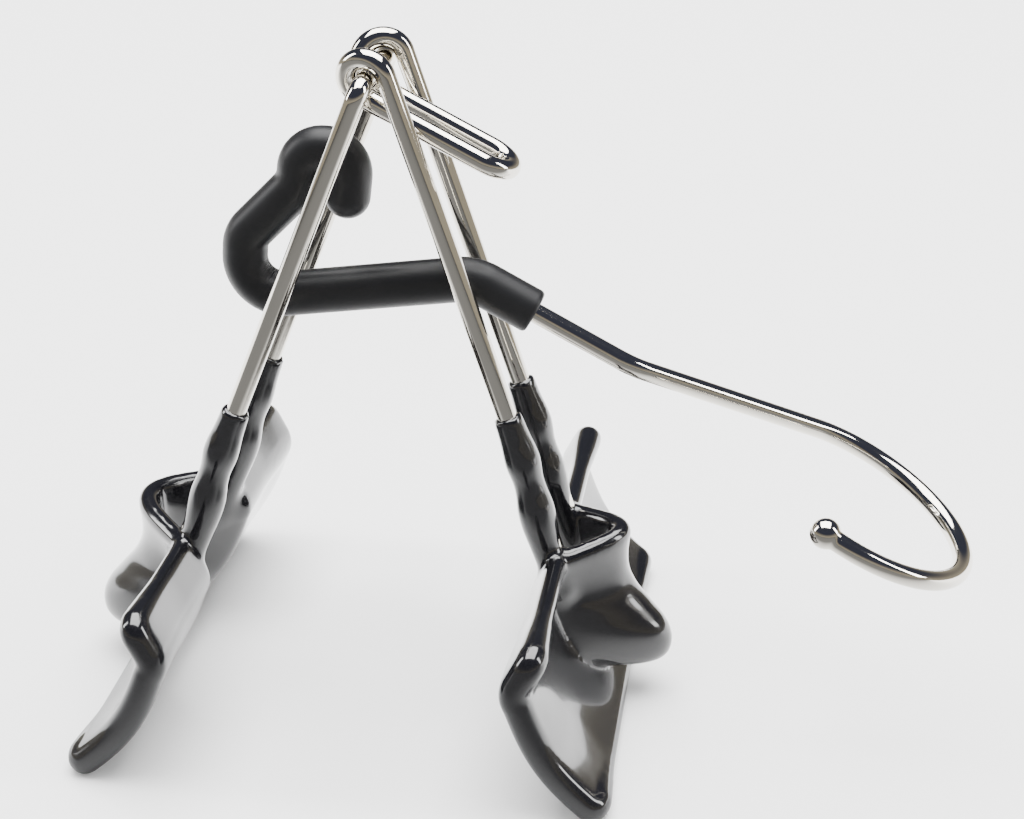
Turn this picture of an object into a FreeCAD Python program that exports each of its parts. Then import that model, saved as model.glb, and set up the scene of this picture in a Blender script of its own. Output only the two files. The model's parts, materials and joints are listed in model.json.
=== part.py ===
"""Trouser hanger: two spring-steel wire frames hinged as an A, with dipped clamp jaws and a loose hook."""
import FreeCAD, Part
import math
import os
import Sketcher

Vector = FreeCAD.Vector
Rotation = FreeCAD.Rotation
Placement = FreeCAD.Placement

# Driving dimensions, in millimetres and degrees
SIZES = [
    ("wire_diameter", 4.0, "steel wire of both frames and the hook"),
    ("hinge_clearance", 0.25, "room between the axle and the eyes that turn on it"),
    ("turn_gap", 0.25, "room between neighbouring turns of wire at the hinge"),
    ("corner_radius", 2.6, "bend where the left legs turn into the axle"),
    ("lever_length", 26.5, "straight length of the lever beside the hinge"),
    ("lever_drop", 26.5, "lever below the horizontal"),
    ("leg_end_gap", 1.0, "wire end short of the sheet's top edge"),
    ("jaw_length", 103.0, "sheet of a jaw, end to end"),
    ("sheet_thickness", 1.2, "pressed steel sheet"),
    ("skin_thickness", 1.5, "dipped coating on each face"),
    ("bend_reach", 39.1, "centre of the jaw's bend, sideways from the axle"),
    ("bend_drop", 104.7, "centre of the jaw's bend, below the axle"),
    ("bend_radius", 4.0, "middle of the sheet round the gripping bend"),
    ("top_flange", 6.1, "short flange above the bend"),
    ("top_flare", 27.0, "short flange from the vertical"),
    ("low_flange", 27.1, "long flange below the bend"),
    ("low_flare", 34.5, "long flange from the vertical"),
    ("flute_rise", 8.5, "top rim of the flute above the bend"),
    ("flute_fall", 17.0, "foot of the flute below the bend"),
    ("flute_top_out", 13.4, "flute's outer sheet at its top rim, beyond the bend's centre"),
    ("flute_low_out", 20.9, "flute's outer sheet at its foot, beyond the bend's centre"),
    ("flute_round", 0.8, "flute's corner radius as a share of its half width or depth"),
    ("socket_length", 33.0, "rolled socket of the sheet round each leg"),
    ("socket_wall", 0.6, "sheet of the rolled socket"),
    ("socket_skin", 0.5, "coating over the rolled socket"),
    ("crimp_swell", 0.5, "how far the two crimps swell the coated socket"),
    ("sleeve_diameter", 9.0, "soft sleeve on the hook"),
    ("slot_clearance", 2.8, "room between the sleeve and each right leg"),
    ("sleeve_rest_gap", 0.3, "room between the sleeve and the front leg it lies beside"),
    ("sleeve_end_round", 1.2, "rounded rim at the sleeve's open end"),
    ("sleeve_past_bend", 14.0, "sleeve beyond its bend, towards the hook"),
    ("hook_bend_reach", 19.6, "sleeve's bend between the right legs, sideways from the axle"),
    ("hook_bend_drop", 40.2, "sleeve's bend between the right legs, below the axle"),
    ("hook_bend_radius", 10.0, "bend of the sleeve between the right legs"),
    ("crook_reach", 26.9, "corner of the crook, left of the axle"),
    ("crook_drop", 47.2, "corner of the crook, below the axle"),
    ("crook_radius", 7.4, "bend at the crook's corner"),
    ("elbow_reach", 26.0, "corner above the crook's corner, left of the axle"),
    ("elbow_drop", 34.0, "corner above the crook's corner, below the axle"),
    ("elbow_radius", 6.0, "bend above the crook's corner"),
    ("arm_reach", 14.8, "corner where the arm turns up to the curl, left of the axle"),
    ("arm_drop", 22.5, "corner where the arm turns up to the curl, below the axle"),
    ("arm_radius", 7.0, "bend where the arm turns up to the curl"),
    ("curl_left", 14.2, "corner where the curl leaves the arm, left of the axle"),
    ("curl_right", 4.2, "corner where the curl turns down, left of the axle"),
    ("curl_drop", 15.4, "top of the curl below the axle"),
    ("curl_radius", 4.7, "bends of the curl"),
    ("curl_tip", 9.2, "end of the curl below its last corner"),
    ("curl_lean", 1.0, "end of the curl left of its last corner"),
    ("shank_length", 36.0, "straight shank from the sleeve's bend to the neck"),
    ("shank_drop", 27.5, "shank below the horizontal"),
    ("neck_radius", 15.0, "bend from the shank into the neck"),
    ("hook_centre_along", 88.0, "centre of the hook along the shank"),
    ("hook_centre_aside", -2.5, "centre of the hook across the shank"),
    ("hook_radius", 24.0, "middle of the wire round the hook"),
    ("hook_tip_angle", 251.4, "end of the hook round its centre"),
    ("ball_diameter", 6.0, "ball on the end of the hook"),
]

WRAP_SPANS = 3
HOOK_SPANS = 3

doc = FreeCAD.newDocument("trouser_hanger")
sheet = doc.addObject("Spreadsheet::Sheet", "sizes")
for line, (alias, number, note) in enumerate(SIZES, start=1):
    sheet.set(f"A{line}", str(number))
    sheet.setAlias(f"A{line}", alias)
    sheet.set(f"B{line}", note)
doc.recompute()
size = {alias: float(sheet.get(alias)) for alias, number, note in SIZES}

# Values that follow from the driving dimensions
wire_radius = size["wire_diameter"] / 2
sleeve_radius = size["sleeve_diameter"] / 2
eye_radius = 2 * wire_radius + size["hinge_clearance"]
right_leg_y = sleeve_radius + size["slot_clearance"] + wire_radius
lever_y = right_leg_y - size["wire_diameter"] - size["turn_gap"]
left_leg_y = right_leg_y + wire_radius + size["turn_gap"] + size["corner_radius"]
shank = Vector(math.cos(math.radians(size["shank_drop"])), 0, -math.sin(math.radians(size["shank_drop"])))
hook_span = (size["hook_centre_along"] + size["hook_radius"]) * shank.x
hook_reach = size["hook_bend_reach"] + hook_span + wire_radius
flute_reach = size["bend_reach"] + size["flute_low_out"] + size["sheet_thickness"] / 2 + size["skin_thickness"]

# The origin is on the floor, under the middle of the whole part, and the jaws' lower rims rest on the floor
low_flare = math.radians(size["low_flare"])
flange_drop = size["bend_radius"] * math.sin(low_flare) + size["low_flange"] * math.cos(low_flare)
axle_height = size["bend_drop"] + flange_drop + size["sheet_thickness"] / 2 + size["skin_thickness"]
axle_x = (flute_reach - hook_reach) / 2
axle = Vector(axle_x, 0, axle_height)
derived = {"axle_x": axle_x, "axle_height": axle_height, "left_leg_y": left_leg_y, "right_leg_y": right_leg_y}
for line, (alias, number) in enumerate(derived.items(), start=len(SIZES) + 2):
    sheet.set(f"A{line}", str(number))
    sheet.setAlias(f"A{line}", alias)
doc.recompute()


# Wire bending: straight runs joined by tangent arcs
def corner_arc(start, corner, end):
    """Arc from start to end whose end tangents meet at corner."""
    middle = (start + end) * 0.5
    half_chord = (end - start).Length / 2
    rise = (corner - middle).Length
    sagitta = half_chord * math.tan(math.atan2(rise, half_chord) / 2)
    peak = middle + (corner - middle) * (sagitta / rise)
    return Part.Arc(start, peak, end).toShape()


def run(start, end):
    return Part.LineSegment(start, end).toShape()


def bent_path(corners, radii):
    """Edges of a path through corners, each inner corner rounded by its radius."""
    edges = []
    here = corners[0]
    for before, corner, after, radius in zip(corners, corners[1:], corners[2:], radii):
        back = (before - corner).normalize()
        ahead = (after - corner).normalize()
        half_turn = (math.pi - back.getAngle(ahead)) / 2
        reach = radius * math.tan(half_turn)
        start = corner + back * reach
        end = corner + ahead * reach
        edges.append(run(here, start))
        edges.append(corner_arc(start, corner, end))
        here = end
    edges.append(run(here, corners[-1]))
    return edges


def biarc(start, start_way, end, end_way):
    """Two arcs that leave start along start_way and reach end along end_way."""
    chord = end - start
    ways = start_way + end_way
    spread = 2 * (1 - start_way.dot(end_way))
    along = chord.dot(ways)
    reach = (math.sqrt(along * along + spread * chord.dot(chord)) - along) / spread
    first = start + start_way * reach
    second = end - end_way * reach
    join = (first + second) * 0.5
    return [corner_arc(start, first, join), corner_arc(join, second, end)]


def wire_solid(edges, radius):
    """Round wire of one radius along a path of tangent edges."""
    path = Part.Wire(Part.__sortEdges__(edges))
    first = path.OrderedEdges[0]
    start = path.OrderedVertexes[0].Point
    ends = [first.valueAt(first.FirstParameter), first.valueAt(first.LastParameter)]
    way = ends[1] - ends[0]
    if (ends[1] - start).Length < (ends[0] - start).Length:
        way = ends[0] - ends[1]
    profile = Part.Wire(Part.makeCircle(radius, start, way))
    return path.makePipeShell([profile], True, False)


def add_shape(label, shape):
    node = doc.addObject("Part::Feature", label)
    node.Label = label
    node.Shape = shape
    return node


# Where the sheet's top edge meets the legs, right of the axle
top_flare = math.radians(size["top_flare"])
bend_radius, top_flange = size["bend_radius"], size["top_flange"]
edge_reach = size["bend_reach"] - bend_radius * math.cos(top_flare) + top_flange * math.sin(top_flare)
edge_drop = size["bend_drop"] - bend_radius * math.sin(top_flare) - top_flange * math.cos(top_flare)
left_lean = math.atan2(edge_reach, edge_drop)
right_lean = left_lean - math.asin(eye_radius / math.hypot(edge_reach, edge_drop))


def sheet_edge(side, y):
    return axle + Vector(side * edge_reach, y, -edge_drop)


def leg_up(side):
    """Way up a leg of one side: -1 is the left frame, 1 the right one."""
    lean = left_lean if side < 0 else right_lean
    return Vector(-side * math.sin(lean), 0, math.cos(lean))


# Left frame: one wire, down each side of the hinge, with the axle as its top
left_front_end = sheet_edge(-1, -left_leg_y) + leg_up(-1) * size["leg_end_gap"]
left_rear_end = sheet_edge(-1, left_leg_y) + leg_up(-1) * size["leg_end_gap"]
left_corners = [
    left_front_end,
    axle + Vector(0, -left_leg_y, 0),
    axle + Vector(0, left_leg_y, 0),
    left_rear_end,
]
left_edges = bent_path(left_corners, [size["corner_radius"]] * 2)
left_frame_wire = add_shape("left_frame_wire", wire_solid(left_edges, wire_radius))


# Right frame: each leg wraps the axle in an eye and runs on as one bar of the lever
wrap_start = right_lean
wrap_end = math.radians(270 - size["lever_drop"])
wrap_shift = right_leg_y - lever_y


def wrap_point(share):
    turn = wrap_start + (wrap_end - wrap_start) * share
    shift = wrap_shift * share * share * (3 - 2 * share)
    return axle + Vector(eye_radius * math.cos(turn), shift - right_leg_y, eye_radius * math.sin(turn))


def wrap_way(share):
    turn = wrap_start + (wrap_end - wrap_start) * share
    speed = eye_radius * (wrap_end - wrap_start)
    drift = wrap_shift * 6 * share * (1 - share)
    return Vector(-speed * math.sin(turn), drift, speed * math.cos(turn)).normalize()


right_front_end = sheet_edge(1, -right_leg_y) + leg_up(1) * size["leg_end_gap"]
front_half = [run(right_front_end, wrap_point(0))]
for span in range(WRAP_SPANS):
    share, next_share = span / WRAP_SPANS, (span + 1) / WRAP_SPANS
    front_half += biarc(wrap_point(share), wrap_way(share), wrap_point(next_share), wrap_way(next_share))
lever_way = wrap_way(1)
lever_root = wrap_point(1)
lever_end = lever_root + lever_way * size["lever_length"]
lever_tip = Vector(lever_end.x, 0, lever_end.z) + lever_way * lever_y
front_half.append(run(lever_root, lever_end))
front_half.append(corner_arc(lever_end, lever_end + lever_way * lever_y, lever_tip))
rear_half = [edge.mirror(Vector(0, 0, 0), Vector(0, 1, 0)) for edge in front_half]
right_frame_wire = add_shape("right_frame_wire", wire_solid(front_half + rear_half, wire_radius))


# Hook: a crook beside the front right leg, a shank, and a round hook across it
hook_middle = axle + Vector(0, size["sleeve_rest_gap"] - size["slot_clearance"], 0)
hook_bend = hook_middle + Vector(size["hook_bend_reach"], 0, -size["hook_bend_drop"])
curl_turn = hook_middle + Vector(-size["curl_right"], 0, -size["curl_drop"])
curl_end = curl_turn + Vector(-size["curl_lean"], 0, -size["curl_tip"])
sleeve_end = hook_bend + shank * size["sleeve_past_bend"]
crook_corners = [
    curl_end,
    curl_turn,
    hook_middle + Vector(-size["curl_left"], 0, -size["curl_drop"]),
    hook_middle + Vector(-size["arm_reach"], 0, -size["arm_drop"]),
    hook_middle + Vector(-size["elbow_reach"], 0, -size["elbow_drop"]),
    hook_middle + Vector(-size["crook_reach"], 0, -size["crook_drop"]),
    hook_bend,
]
crook_bends = ("curl", "curl", "arm", "elbow", "crook", "hook_bend")
crook_radii = [size[f"{bend}_radius"] for bend in crook_bends]

across = Vector(0, 1, 0)
neck = hook_bend + shank * size["shank_length"]
hook_centre = hook_bend + shank * size["hook_centre_along"] + across * size["hook_centre_aside"]
to_centre = hook_centre - neck
centre_turn = math.atan2(to_centre.dot(across), to_centre.dot(shank))
tangent_turn = centre_turn + math.asin(size["hook_radius"] / to_centre.Length)
arc_start = tangent_turn + math.pi / 2
arc_end = math.radians(size["hook_tip_angle"]) - 2 * math.pi


def hook_point(turn):
    way = shank * math.cos(turn) + across * math.sin(turn)
    return hook_centre + way * size["hook_radius"]


hook_edges = bent_path(crook_corners + [neck, hook_point(arc_start)], crook_radii + [size["neck_radius"]])
for span in range(HOOK_SPANS):
    turns = [arc_start + (arc_end - arc_start) * (span + part / 2) / HOOK_SPANS for part in range(3)]
    hook_edges.append(Part.Arc(*[hook_point(turn) for turn in turns]).toShape())
hook_ball = Part.makeSphere(size["ball_diameter"] / 2, hook_point(arc_end))
hook_wire = add_shape("hook_wire", wire_solid(hook_edges, wire_radius).fuse(hook_ball).removeSplitter())

# Sleeve: soft tube over the crook, closed and round at the curl's tip
sleeve_edges = bent_path(crook_corners + [sleeve_end], crook_radii)
sleeve_tube = wire_solid(sleeve_edges, sleeve_radius)
rim = [edge for edge in sleeve_tube.Edges if edge.Curve.TypeId == "Part::GeomCircle"
       and (edge.Curve.Center - sleeve_end).Length < sleeve_radius / 10]
sleeve_tube = sleeve_tube.makeFillet(size["sleeve_end_round"], rim)
sleeve_tip = Part.makeSphere(sleeve_radius, curl_end)
sleeve = sleeve_tube.fuse(sleeve_tip).removeSplitter().cut(hook_wire.Shape)
hook_sleeve = add_shape("hook_sleeve", sleeve)


# Jaws: a bent sheet with a flute between the legs, inside a dipped skin of the same form
def plane(body, role):
    return [part for part in body.Origin.OriginFeatures if part.Role == role][0]


def number(text):
    return float(sheet.evalExpression(text))


class Outline:
    """Closed sketch of lines and arcs whose corners are tied to the sheet by expressions."""

    def __init__(self, body, name, role, lift=None):
        self.sketch = body.newObject("Sketcher::SketchObject", name)
        self.sketch.AttachmentSupport = (plane(body, role), "")
        self.sketch.MapMode = "FlatFace"
        if lift:
            self.sketch.setExpression("AttachmentOffset.Base.z", lift)

    def draw(self, corners, centres):
        """corners: (x, y) expressions in order; centres: arc centres by the number of their first corner."""
        places = [Vector(number(x), number(y), 0) for x, y in corners]
        count = len(corners)
        for first, start in enumerate(places):
            end = places[(first + 1) % count]
            if first not in centres:
                self.sketch.addGeometry(Part.LineSegment(start, end))
                continue
            centre_x, centre_y, turn = centres[first]
            middle = Vector(number(centre_x), number(centre_y), 0)
            radius = (start - middle).Length
            ends = [math.atan2(point.y - middle.y, point.x - middle.x) for point in (start, end)]
            if turn < 0:
                ends.reverse()
            circle = Part.Circle(middle, Vector(0, 0, 1), radius)
            self.sketch.addGeometry(Part.ArcOfCircle(circle, ends[0], ends[1]))
        for first in range(count):
            second = (first + 1) % count
            last_end = 1 if centres.get(first, (0, 0, 1))[2] < 0 else 2
            next_start = 2 if centres.get(second, (0, 0, 1))[2] < 0 else 1
            self.sketch.addConstraint(Sketcher.Constraint("Coincident", first, last_end, second, next_start))
        for first, (x, y) in enumerate(corners):
            start = 2 if centres.get(first, (0, 0, 1))[2] < 0 else 1
            self.tie("DistanceX", first, start, x)
            self.tie("DistanceY", first, start, y)
        for first, (centre_x, centre_y, turn) in centres.items():
            self.tie("DistanceX", first, 3, centre_x)
        return self.sketch

    def tie(self, kind, geometry, point, expression):
        constraint = Sketcher.Constraint(kind, -1, 1, geometry, point, number(expression))
        index = self.sketch.addConstraint(constraint)
        self.sketch.setExpression(f"Constraints[{index}]", expression)


def jaw_section(side, half):
    """Corners and arc centres of the bent sheet's section, half as thick as the expression half."""
    centre_x = f"sizes.axle_x + {side} * sizes.bend_reach"
    centre_z = "sizes.axle_height - sizes.bend_drop"

    def point(radius, flare, slope, length):
        """Point on the bend at radius, then length along the flange that slopes up (1) or down (-1)."""
        x = f"{centre_x} - {side} * (({radius}) * cos({flare}) - ({length}) * sin({flare}))"
        z = f"{centre_z} + {slope} * (({radius}) * sin({flare}) + ({length}) * cos({flare}))"
        return x, z

    inner = f"sizes.bend_radius - {half}"
    outer = f"sizes.bend_radius + {half}"
    top, low = "sizes.top_flare", "sizes.low_flare"
    corners = [
        point(inner, top, 1, "sizes.top_flange"),
        point(inner, top, 1, "0"),
        point(inner, low, -1, "0"),
        point(inner, low, -1, "sizes.low_flange"),
        point(outer, low, -1, "sizes.low_flange"),
        point(outer, low, -1, "0"),
        point(outer, top, 1, "0"),
        point(outer, top, 1, "sizes.top_flange"),
    ]
    top_end = point("sizes.bend_radius", top, 1, "sizes.top_flange")
    low_end = point("sizes.bend_radius", low, -1, "sizes.low_flange")
    bend = (centre_x, centre_z)
    centres = {
        1: bend + (side,),
        3: low_end + (-side,),
        5: bend + (-side,),
        7: top_end + (-side,),
    }
    return corners, centres


class Flute:
    """Flute's plan at one height: a flat U round the legs' gap, open towards the other jaw."""

    def __init__(self, side, half, rim, root, reach):
        leg_y = "sizes.left_leg_y" if side < 0 else "sizes.right_leg_y"
        corner = f"(sizes.flute_round * min({leg_y}; ({reach}) - ({root})))"
        self.side = side
        self.root_x = f"sizes.axle_x + {side} * ({root} - ({rim}))"
        self.arc_x = f"sizes.axle_x + {side} * (({reach}) - {corner})"
        self.far_x = f"sizes.axle_x + {side} * (({reach}) + {half})"
        self.near_x = f"sizes.axle_x + {side} * (({reach}) - {half})"
        self.arc_y = f"({leg_y} - {corner})"
        self.wide = f"({leg_y} + {half})"
        self.narrow = f"({leg_y} - {half})"

    def outside(self):
        corners = [
            (self.root_x, f"-{self.wide}"),
            (self.arc_x, f"-{self.wide}"),
            (self.far_x, f"-{self.arc_y}"),
            (self.far_x, self.arc_y),
            (self.arc_x, self.wide),
            (self.root_x, self.wide),
        ]
        centres = {1: (self.arc_x, f"-{self.arc_y}", self.side), 3: (self.arc_x, self.arc_y, self.side)}
        return corners, centres

    def ring(self):
        corners, centres = self.outside()
        corners += [
            (self.root_x, self.narrow),
            (self.arc_x, self.narrow),
            (self.near_x, self.arc_y),
            (self.near_x, f"-{self.arc_y}"),
            (self.arc_x, f"-{self.narrow}"),
            (self.root_x, f"-{self.narrow}"),
        ]
        centres[7] = (self.arc_x, self.arc_y, -self.side)
        centres[9] = (self.arc_x, f"-{self.arc_y}", -self.side)
        return corners, centres


def jaw_body(name, side, half, rim):
    """Bent sheet of one side with its flute: half its thickness, and rim past the bare sheet's edges."""
    body = doc.addObject("PartDesign::Body", name)
    section = Outline(body, name + "_section", "XZ_Plane").draw(*jaw_section(side, half))
    wings = body.newObject("PartDesign::Pad", name + "_wings")
    wings.Profile = section
    wings.SideType = "Symmetric"
    wings.setExpression("Length", f"sizes.jaw_length + 2 * ({rim})")

    radius = "sizes.left_leg_y" if side < 0 else "sizes.right_leg_y"
    bend_z = "sizes.axle_height - sizes.bend_drop"
    foot_z = f"{bend_z} - sizes.flute_fall - ({rim})"
    low_z = f"{bend_z} - sizes.flute_fall + sizes.sheet_thickness / 2 + ({rim})"
    window_half = f"({radius} - ({rim}))"
    window_corners = [
        (f"-{window_half}", low_z),
        (window_half, low_z),
        (window_half, "sizes.axle_height"),
        (f"-{window_half}", "sizes.axle_height"),
    ]
    window_sketch = Outline(body, name + "_window_sketch", "YZ_Plane").draw(window_corners, {})
    window = body.newObject("PartDesign::Pocket", name + "_window")
    window.Profile = window_sketch
    window.SideType = "Symmetric"
    window.Type = "Length"
    window.setExpression("Length", "4 * (sizes.bend_reach + sizes.flute_low_out) + 2 * abs(sizes.axle_x)")

    top_root = ("sizes.bend_reach - sizes.bend_radius * cos(sizes.top_flare)"
                " + sizes.top_flange * sin(sizes.top_flare)")
    low_root = ("sizes.bend_reach - sizes.bend_radius / cos(sizes.low_flare)"
                " + sizes.flute_fall * tan(sizes.low_flare)")
    bend_root = "sizes.bend_reach - sizes.bend_radius"
    top_reach = "sizes.bend_reach + sizes.flute_top_out"
    low_reach = "sizes.bend_reach + sizes.flute_low_out"
    middle_reach = (f"{top_reach} + (sizes.flute_low_out - sizes.flute_top_out)"
                    " * sizes.flute_rise / (sizes.flute_rise + sizes.flute_fall)")
    levels = [
        ("top", f"{bend_z} + sizes.flute_rise + ({rim})", top_root, top_reach),
        ("bend", bend_z, bend_root, middle_reach),
        ("low", foot_z, low_root, low_reach),
    ]
    rings = []
    for level, height, root, reach in levels:
        plan = Flute(side, half, rim, root, reach)
        rings.append(Outline(body, f"{name}_flute_{level}", "XY_Plane", height).draw(*plan.ring()))
    flute = body.newObject("PartDesign::AdditiveLoft", name + "_flute")
    flute.Profile = rings[0]
    flute.Sections = rings[1:]
    flute.Ruled = True
    floor_plan = Flute(side, half, rim, low_root, low_reach).outside()
    floor = body.newObject("PartDesign::Pad", name + "_flute_floor")
    floor.Profile = Outline(body, name + "_floor_plan", "XY_Plane", foot_z).draw(*floor_plan)
    floor.setExpression("Length", f"sizes.sheet_thickness + 2 * ({rim})")
    return body


def leg_socket(name, side, y, radius, length):
    """Round socket up a leg from the sheet's top edge."""
    tube = doc.addObject("Part::Cylinder", name)
    tube.setExpression("Radius", radius)
    tube.setExpression("Height", length)
    base = sheet_edge(side, y) - leg_up(side) * number("sizes.bend_radius")
    tube.Placement = Placement(base, Rotation(Vector(0, 0, 1), leg_up(side)))
    return tube


def crimp(name, side, y, share):
    """Swelling of the coated socket where the sheet is crimped on the leg."""
    swell = doc.addObject("Part::Sphere", name)
    radius = "sizes.wire_diameter / 2 + sizes.socket_wall + sizes.socket_skin + sizes.crimp_swell"
    swell.setExpression("Radius", radius)
    place = sheet_edge(side, y) + leg_up(side) * (share * size["socket_length"])
    swell.Placement = Placement(place, Rotation(Vector(0, 0, 1), leg_up(side)))
    return swell


def joined(name, pieces):
    whole = doc.addObject("Part::MultiFuse", name)
    whole.Shapes = pieces
    return whole


def cut(name, base, tool):
    result = doc.addObject("Part::Cut", name)
    result.Base = base
    result.Tool = tool
    result.Label = name
    return result


CRIMP_SHARES = (0.33, 0.69)
nodes = [left_frame_wire, right_frame_wire, hook_wire, hook_sleeve]
HALF_SHEET = "sizes.sheet_thickness / 2"
HALF_COATED = "(sizes.sheet_thickness / 2 + sizes.skin_thickness)"
SOCKET_RADIUS = "sizes.wire_diameter / 2 + sizes.socket_wall"
SOCKET_LENGTH = "sizes.socket_length + sizes.bend_radius"
sides = [(-1, "left", left_frame_wire, left_leg_y), (1, "right", right_frame_wire, right_leg_y)]
for side, word, wire, leg_y in sides:
    steel = [jaw_body(f"{word}_sheet", side, HALF_SHEET, "0")]
    coat = [jaw_body(f"{word}_skin", side, HALF_COATED, "sizes.skin_thickness")]
    for end, y in (("front", -leg_y), ("rear", leg_y)):
        socket = f"{word}_{end}_socket"
        steel.append(leg_socket(socket, side, y, SOCKET_RADIUS, f"{SOCKET_LENGTH} - sizes.socket_skin"))
        skin_radius = f"{SOCKET_RADIUS} + sizes.socket_skin"
        coat.append(leg_socket(f"{socket}_skin", side, y, skin_radius, SOCKET_LENGTH))
        for place, share in enumerate(CRIMP_SHARES):
            coat.append(crimp(f"{socket}_crimp_{place}", side, y, share))
    plate = cut(f"{word}_jaw_plate", joined(f"{word}_steel", steel), wire)
    hollow = joined(f"{word}_hollow", [plate, wire])
    coating = cut(f"{word}_jaw_coating", joined(f"{word}_coat", coat), hollow)
    nodes += [plate, coating]

doc.recompute()
for item in doc.Objects:
    if "Invalid" in item.State or "Error" in item.State:
        raise RuntimeError(f"{item.Name} did not build: {item.State}")

os.makedirs("parts", exist_ok=True)
for node in nodes:
    if node.Shape.isNull() or not node.Shape.isValid():
        raise RuntimeError(f"{node.Label} is not a valid shape")
    print(node.Label, len(node.Shape.Solids), "solids", round(node.Shape.Volume, 1), "mm3")
    node.Shape.exportStep(f"parts/{node.Label}.step")
print("axle at", axle, "hook bend at", hook_bend)
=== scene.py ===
# %% [markdown]
# # A wire trouser hanger, dressed for the studio
# The real hanger is two bent steel wires hinged as an A, two pressed jaws dipped in black plastic, and a
# loose hook whose crook wears a soft sleeve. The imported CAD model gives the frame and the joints, and its
# sizes are repeated here in millimetres. This lesson grows the smooth wires and the dipped skins around that
# frame and gives each finish its own material.

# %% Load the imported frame
import json
import math

import bpy
import numpy as np
from mathutils import Matrix, Vector


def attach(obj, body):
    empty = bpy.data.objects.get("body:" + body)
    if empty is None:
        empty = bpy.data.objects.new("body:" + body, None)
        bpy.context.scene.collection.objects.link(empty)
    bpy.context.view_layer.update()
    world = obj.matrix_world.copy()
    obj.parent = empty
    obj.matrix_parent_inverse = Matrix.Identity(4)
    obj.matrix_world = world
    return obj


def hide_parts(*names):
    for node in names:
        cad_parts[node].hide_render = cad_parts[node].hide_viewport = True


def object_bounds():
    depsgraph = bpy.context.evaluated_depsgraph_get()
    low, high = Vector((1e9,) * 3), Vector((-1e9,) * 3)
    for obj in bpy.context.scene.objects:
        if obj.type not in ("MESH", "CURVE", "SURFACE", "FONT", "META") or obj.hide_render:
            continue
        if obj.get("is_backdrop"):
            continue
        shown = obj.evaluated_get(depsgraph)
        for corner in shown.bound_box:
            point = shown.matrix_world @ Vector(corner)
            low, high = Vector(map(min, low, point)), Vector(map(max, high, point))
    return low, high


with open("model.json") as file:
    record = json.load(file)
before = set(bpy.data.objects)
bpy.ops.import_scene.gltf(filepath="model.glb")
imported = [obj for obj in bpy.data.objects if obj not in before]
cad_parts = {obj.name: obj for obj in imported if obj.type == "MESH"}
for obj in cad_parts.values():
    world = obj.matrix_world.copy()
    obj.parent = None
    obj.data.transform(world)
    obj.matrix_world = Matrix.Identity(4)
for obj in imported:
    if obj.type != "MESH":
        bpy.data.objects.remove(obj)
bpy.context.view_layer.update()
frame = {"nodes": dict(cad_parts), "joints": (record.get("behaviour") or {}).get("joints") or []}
MM = 0.001
joints = {joint["name"]: joint for joint in frame["joints"]}
AXLE = Vector(joints["jaw_hinge"]["pos_m"])
HOOK_BEND = Vector(joints["hook_tilt"]["pos_m"])
print("nodes:", sorted(frame["nodes"]))
print("axle at", [round(x, 4) for x in AXLE], "and hook bend at", [round(x, 4) for x in HOOK_BEND])

# %% [markdown]
# ## Writing node trees as sums
# A node tree is easier to read as a formula than as a list of links. A `Flow` holds one output of one node.
# Its operators add Math nodes, and its `node` method adds any other node, settings first and sockets after.


# %% Flow, the wrapper for one node output
class Flow:
    """One output in a node tree: operators add Math nodes, node() adds any other node."""

    def __init__(self, tree, output=None):
        self.tree = tree
        self.output = output

    def node(self, kind, settings, sockets, output=0):
        made = self.tree.nodes.new(kind)
        for name, value in settings.items():
            if name == "stops":
                self.set_stops(made.color_ramp, value)
            else:
                setattr(made, name, value)
        for name, value in sockets.items():
            if isinstance(value, Flow):
                self.tree.links.new(value.output, made.inputs[name])
            else:
                made.inputs[name].default_value = value
        return Flow(self.tree, made.outputs[output])

    @staticmethod
    def set_stops(ramp, stops):
        while len(ramp.elements) < len(stops):
            ramp.elements.new(1.0)
        for element, (place, grey) in zip(ramp.elements, stops):
            element.position = place
            element.color = (grey, grey, grey, 1.0)

    def maths(self, operation, *values):
        sockets = dict(enumerate(values))
        return self.node("ShaderNodeMath", {"operation": operation}, sockets)

    def __add__(self, other):
        return self.maths("ADD", self, other)

    def __radd__(self, other):
        return self.maths("ADD", other, self)

    def __sub__(self, other):
        return self.maths("SUBTRACT", self, other)

    def __rsub__(self, other):
        return self.maths("SUBTRACT", other, self)

    def __mul__(self, other):
        return self.maths("MULTIPLY", self, other)

    def __rmul__(self, other):
        return self.maths("MULTIPLY", other, self)

    def __truediv__(self, other):
        return self.maths("DIVIDE", self, other)

    def __neg__(self):
        return self.maths("MULTIPLY", self, -1.0)

    def at_least(self, other):
        return self.maths("MAXIMUM", self, other)

    def root(self):
        return self.maths("SQRT", self)


# %% [markdown]
# Some short sums come back in several trees: a smooth step, one axis of a vector, a vector made longer.


# %% Sums that several trees share
def ramp(value, low, high):
    """Smooth step from 0 to 1 as value goes from low to high."""
    settings = {"interpolation_type": "SMOOTHSTEP"}
    return value.node("ShaderNodeMapRange", settings, {"Value": value, "From Min": low, "From Max": high})


def between(mask, low, high):
    """Goes from low to high as mask goes from 0 to 1."""
    return low + mask * (high - low)


def axis_of(vector, axis):
    return vector.node("ShaderNodeSeparateXYZ", {}, {"Vector": vector}, axis)


def scaled(vector, amount):
    return vector.node("ShaderNodeVectorMath", {"operation": "SCALE"}, {0: vector, "Scale": amount})


# %% [markdown]
# ## Finishes
# Four finishes make the whole hanger: bright nickel plate on the wire, a glossy dipped skin on the jaws, a
# satin sleeve on the crook, and the mill steel sheet inside the jaws. Each starts from one Principled shader.
# Only colour, roughness and bump change over a surface, because those survive the export.


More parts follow.
